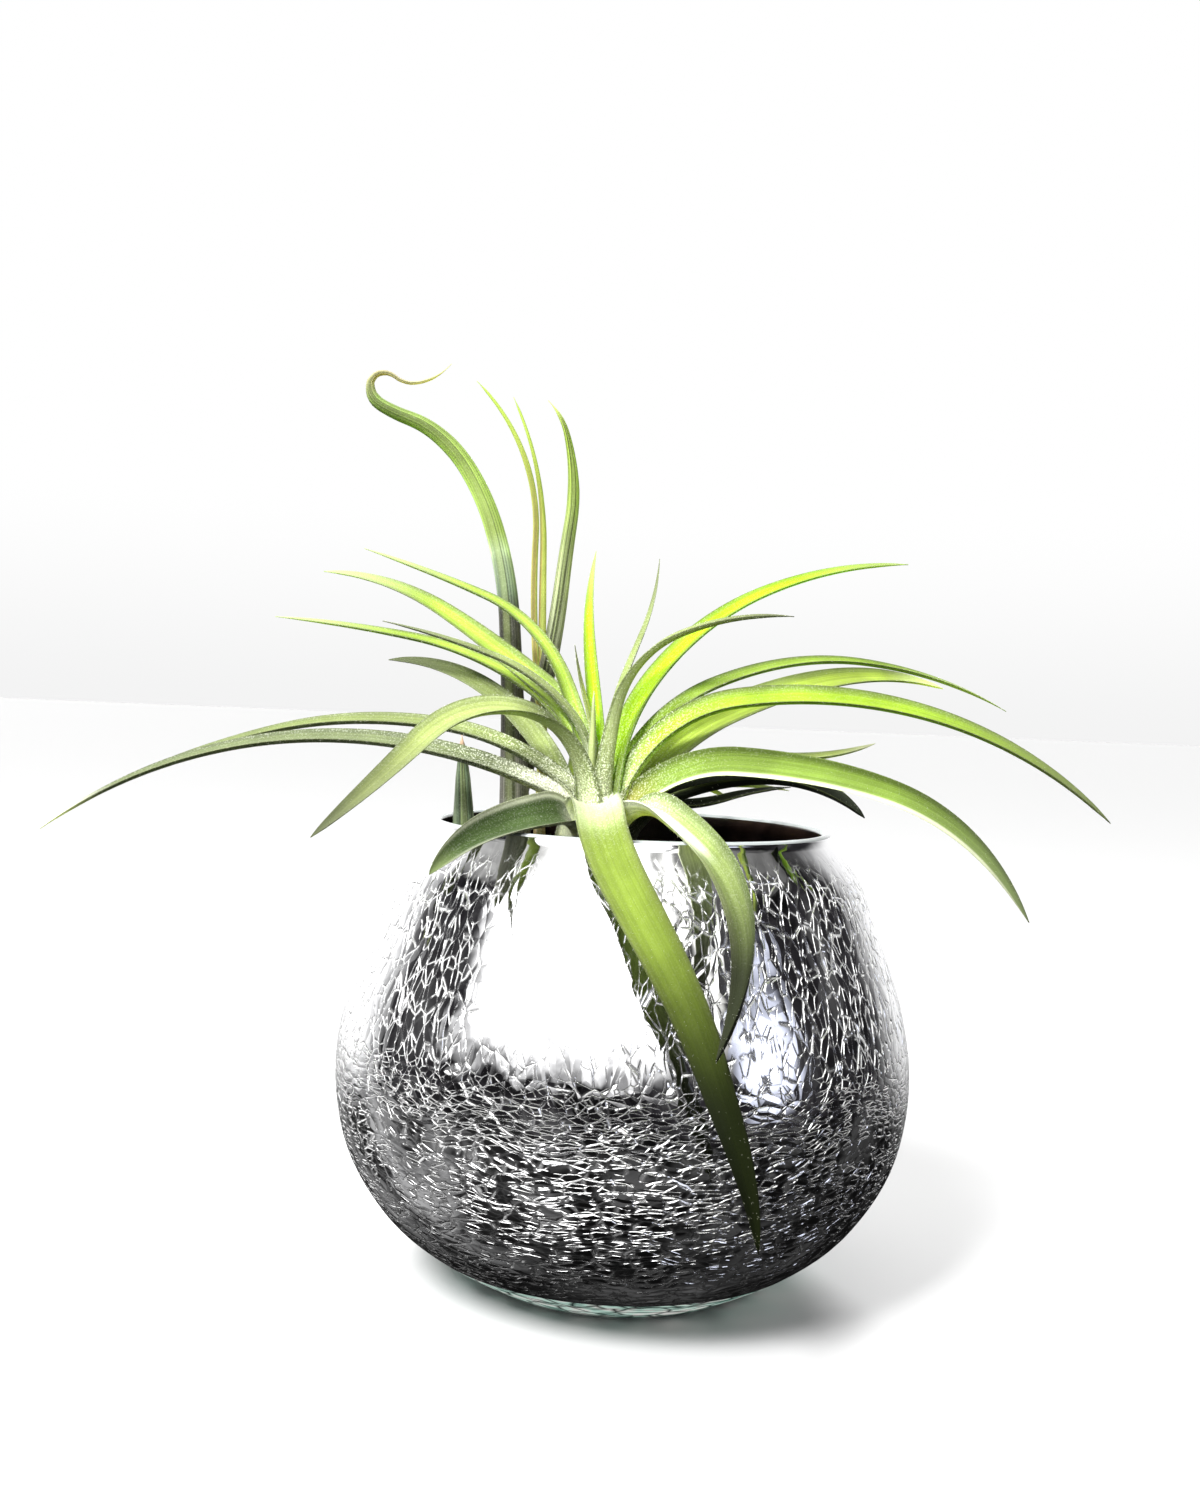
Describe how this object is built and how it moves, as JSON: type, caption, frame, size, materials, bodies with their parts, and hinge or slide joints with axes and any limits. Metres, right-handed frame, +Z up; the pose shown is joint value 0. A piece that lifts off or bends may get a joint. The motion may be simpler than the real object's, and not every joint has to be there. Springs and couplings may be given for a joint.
{
  "type": "air plants in a mirrored crackle-glass bowl",
  "caption": "Silvery rosette air plant with long channelled leaves over the rim of a round mirrored crackle-glass bowl, with a slender curled air plant standing behind it in the same bowl",
  "frame": {"origin": "the middle of the bowl's flat foot, where it stands on a table", "axes": "X to the right, Y to the back and Z up, seen from the picture's side"},
  "size_m": [0.2129, 0.157, 0.1933],
  "materials": {
    "crackle_mirror": "silvered blown glass with a fine crackle, clear lip and clear greenish foot",
    "crown_scurf": "matt grey-green sheaths under silvery scurf and fine white hairs",
    "young_leaf": "lime green blade with fine lengthwise lines, translucent, silvery at the root",
    "rosette_leaf": "mid green blade with fine lengthwise lines, grey-green below, dark dry tip",
    "slender_leaf": "grey-green rolled leaf with lengthwise stripes and brown sheath",
    "bulb_skin": "dull brown-green overlapping sheaths"
  },
  "bodies": {
    "root": {"crackle_glass_bowl": "crackle_mirror", "rosette_crown": "crown_scurf", "slender_plant_bulb": "bulb_skin", "leaf_top_1": "young_leaf", "leaf_top_2": "young_leaf", "leaf_top_3": "young_leaf", "leaf_top_4": "young_leaf", "leaf_top_5": "young_leaf", "leaf_top_6": "young_leaf", "leaf_left_1": "young_leaf", "leaf_left_2": "young_leaf", "leaf_left_3": "young_leaf", "leaf_left_4": "rosette_leaf", "leaf_left_5": "rosette_leaf", "leaf_left_6": "rosette_leaf", "leaf_left_7": "rosette_leaf", "leaf_left_8": "rosette_leaf", "leaf_left_9": "rosette_leaf", "leaf_right_1": "rosette_leaf", "leaf_right_2": "rosette_leaf", "leaf_right_3": "rosette_leaf", "leaf_right_4": "rosette_leaf", "leaf_right_5": "rosette_leaf", "leaf_right_6": "rosette_leaf", "leaf_right_7": "rosette_leaf", "leaf_front_1": "rosette_leaf", "leaf_front_2": "rosette_leaf", "leaf_front_3": "rosette_leaf", "leaf_back_1": "rosette_leaf", "leaf_back_2": "rosette_leaf", "leaf_back_3": "rosette_leaf", "leaf_back_4": "rosette_leaf", "leaf_back_5": "rosette_leaf", "slender_leaf_curled": "slender_leaf", "slender_leaf_tall": "slender_leaf", "slender_leaf_thin_1": "slender_leaf", "slender_leaf_thin_2": "slender_leaf", "slender_leaf_spike": "slender_leaf"}
  },
  "joints": []
}
